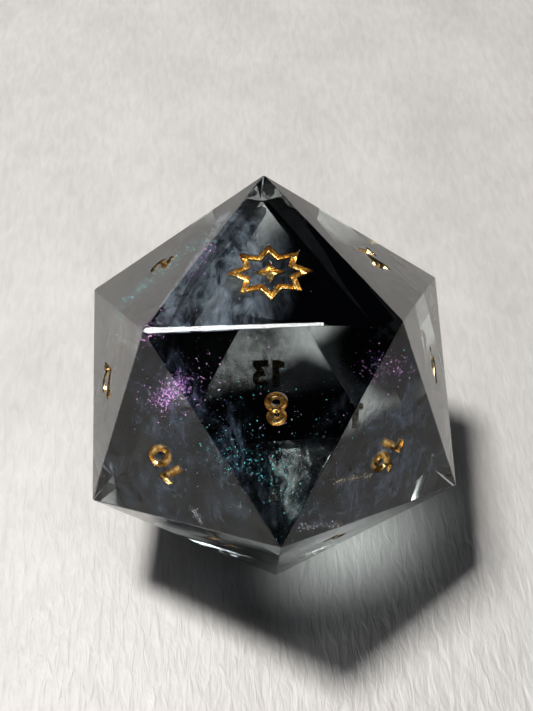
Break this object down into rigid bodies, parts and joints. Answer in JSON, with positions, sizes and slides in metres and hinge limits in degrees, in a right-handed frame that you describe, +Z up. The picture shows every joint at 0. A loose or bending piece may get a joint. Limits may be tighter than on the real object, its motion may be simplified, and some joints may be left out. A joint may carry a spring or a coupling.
{
  "type": "twenty-sided die",
  "caption": "Large sharp-edged icosahedral die in smoky translucent resin, with recessed gold-filled numbers and a star on its highest face.",
  "frame": {"origin": "on the table, under the middle of the die: the middle of the bottom of its box", "axes": "+Z up out of face 20, with the die lying on face 1; +Y to the back, the way face 20's mark stands; +X to the right"},
  "size_m": [0.0352, 0.0406, 0.033],
  "materials": {
    "smoky_resin": "polished, translucent smoky black with ink clouds and fine glitter",
    "number_paint": "glossy metallic gold paint",
    "emblem_paint": "glossy metallic gold paint"
  },
  "bodies": {
    "root": {"paint_01_units": "number_paint", "paint_02_units": "number_paint", "paint_03_units": "number_paint", "paint_04_units": "number_paint", "paint_05_units": "number_paint", "paint_06_dot": "number_paint", "paint_06_units": "number_paint", "paint_07_units": "number_paint", "paint_08_units": "number_paint", "paint_09_dot": "number_paint", "paint_09_units": "number_paint", "paint_10_tens": "number_paint", "paint_10_units": "number_paint", "paint_11_tens": "number_paint", "paint_11_units": "number_paint", "paint_12_tens": "number_paint", "paint_12_units": "number_paint", "paint_13_tens": "number_paint", "paint_13_units": "number_paint", "paint_14_tens": "number_paint", "paint_14_units": "number_paint", "paint_15_tens": "number_paint", "paint_15_units": "number_paint", "paint_16_tens": "number_paint", "paint_16_units": "number_paint", "paint_17_tens": "number_paint", "paint_17_units": "number_paint", "paint_18_tens": "number_paint", "paint_18_units": "number_paint", "paint_19_tens": "number_paint", "paint_19_units": "number_paint", "paint_20_spark": "emblem_paint", "paint_20_star": "emblem_paint", "resin_body": "smoky_resin"}
  },
  "joints": []
}
